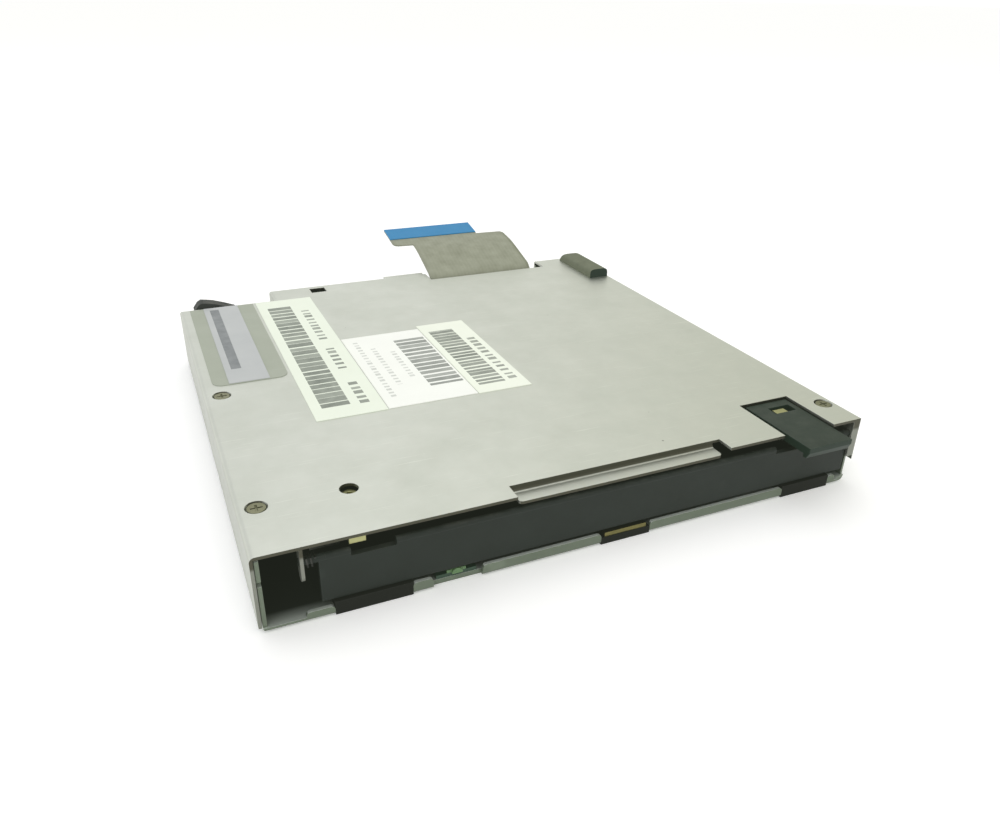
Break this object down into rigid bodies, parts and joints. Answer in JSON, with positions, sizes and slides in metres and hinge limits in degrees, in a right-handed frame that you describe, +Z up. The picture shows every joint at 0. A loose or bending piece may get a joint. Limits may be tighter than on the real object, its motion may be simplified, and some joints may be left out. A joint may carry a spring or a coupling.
{
  "type": "floppy disk drive",
  "caption": "Slim internal floppy disk drive without a bezel: stepped sheet-metal case, sprung front door, eject button on a slide plate, disk holder, spindle motor and flat cable.",
  "frame": {"origin": "centre of the case's footprint, on its underside", "axes": "+X right along the front, +Y to the rear, where the cable leaves, +Z up"},
  "size_m": [0.105, 0.1286, 0.02],
  "materials": {
    "plated_steel": "satin",
    "pan_steel": "satin",
    "chromate_steel": "satin",
    "screw_steel": "satin",
    "bright_steel": "polished",
    "spring_steel": "satin",
    "label_paper": "matte",
    "tape": "matte",
    "liner": "satin",
    "foam": "matte",
    "black_rubber": "matte",
    "cable_film": "satin",
    "blue_film": "satin",
    "ivory_plastic": "matte",
    "board_green": "satin",
    "chip_black": "matte",
    "lamp_green": "glossy",
    "sensor_brown": "matte",
    "bronze": "satin",
    "flex_amber": "satin",
    "copper_wire": "satin",
    "can_steel": "satin",
    "door_plastic": "matte",
    "button_plastic": "matte",
    "inner_plastic": "matte",
    "magnet": "matte",
    "head_ceramic": "polished"
  },
  "bodies": {
    "chassis": {"cover": "plated_steel", "pan": "pan_steel", "cover_screws": "screw_steel", "long_label": "label_paper", "wide_label": "label_paper", "narrow_label": "label_paper", "tape_pad": "tape", "liner_strip": "liner", "bumper": "foam", "rear_buffer": "black_rubber", "flat_cable": "cable_film", "cable_stiffener": "blue_film", "cable_socket": "ivory_plastic", "main_board": "board_green", "board_chips": "chip_black", "board_screws": "bright_steel", "lamp_board": "board_green", "lamp": "lamp_green", "protect_sensor": "sensor_brown", "density_sensor": "sensor_brown", "leaf_seat": "sensor_brown", "front_leaf": "bronze", "motor_board": "board_green", "motor_flex": "flex_amber", "stator_coils": "copper_wire", "spindle_bearing": "bronze", "stepper_can": "can_steel", "stepper_bracket": "can_steel", "guide_rods": "bright_steel", "rod_clamps": "inner_plastic", "clamp_screws": "bright_steel", "zero_sensor": "chip_black", "door_spring": "spring_steel"},
    "door": {"front_door": "door_plastic"},
    "slider": {"slide_plate": "chromate_steel", "eject_button": "button_plastic", "slide_rivet": "chromate_steel", "eject_springs": "spring_steel"},
    "holder": {"disk_holder": "plated_steel", "holder_pins": "bright_steel", "lever_stud": "bright_steel", "lever_spring": "spring_steel"},
    "lever": {"latch_lever": "plated_steel", "shutter_pin": "bright_steel"},
    "spindle": {"spindle_hub": "can_steel", "drive_pin": "bright_steel", "rotor_yoke": "can_steel", "rotor_magnet": "magnet"},
    "carriage": {"head_carriage": "inner_plastic", "lower_head": "head_ceramic", "screw_follower": "bronze", "arm_pin": "bright_steel", "head_flex": "flex_amber", "head_spring": "spring_steel"},
    "head_arm": {"upper_arm": "plated_steel", "upper_head": "head_ceramic"},
    "screw": {"lead_screw": "bright_steel"}
  },
  "joints": [
    {"name": "door_swing", "type": "hinge", "parent": "chassis", "child": "door", "pos_m": [0.0025, -0.05175, 0.00965], "axis": [1, 0, 0], "range_deg": [0, 90], "stiffness_Nm_per_rad": 0.0006, "springref_deg": -17.19, "deforming": ["door_spring"]},
    {"name": "eject_slide", "type": "slide", "parent": "chassis", "child": "slider", "axis": [0, -1, 0], "range_m": [0, 0.0045], "deforming": ["eject_springs"]},
    {"name": "holder_lift", "type": "slide", "parent": "chassis", "child": "holder", "axis": [0, 0, -1], "range_m": [0, 0.0016]},
    {"name": "lever_swing", "type": "hinge", "parent": "holder", "child": "lever", "pos_m": [0.0325, 0.02455, 0.00995], "axis": [0, 0, -1], "range_deg": [0, 40], "deforming": ["lever_spring"]},
    {"name": "spindle_spin", "type": "hinge", "parent": "chassis", "child": "spindle", "pos_m": [0.0025, -0.01325, 0.0033], "axis": [0, 0, 1], "continuous": true},
    {"name": "head_seek", "type": "slide", "parent": "chassis", "child": "carriage", "axis": [0, -1, 0], "range_m": [0, 0.0148], "deforming": ["head_flex"]},
    {"name": "arm_lower", "type": "hinge", "parent": "carriage", "child": "head_arm", "pos_m": [0.0025, 0.0492, 0.00775], "axis": [1, 0, 0], "range_deg": [0, 8.27], "deforming": ["head_spring"]},
    {"name": "screw_turn", "type": "hinge", "parent": "chassis", "child": "screw", "pos_m": [-0.012, 0.02625, 0.003], "axis": [0, 1, 0], "range_deg": [0, 1776.01]}
  ],
  "couplings": [
    {"joint": "holder_lift", "follows": "eject_slide", "ratio": 0.35556},
    {"joint": "lever_swing", "follows": "eject_slide", "rad_per_m": 155.14},
    {"joint": "arm_lower", "follows": "eject_slide", "rad_per_m": 32.063},
    {"joint": "screw_turn", "follows": "head_seek", "rad_per_m": 2094.4}
  ]
}
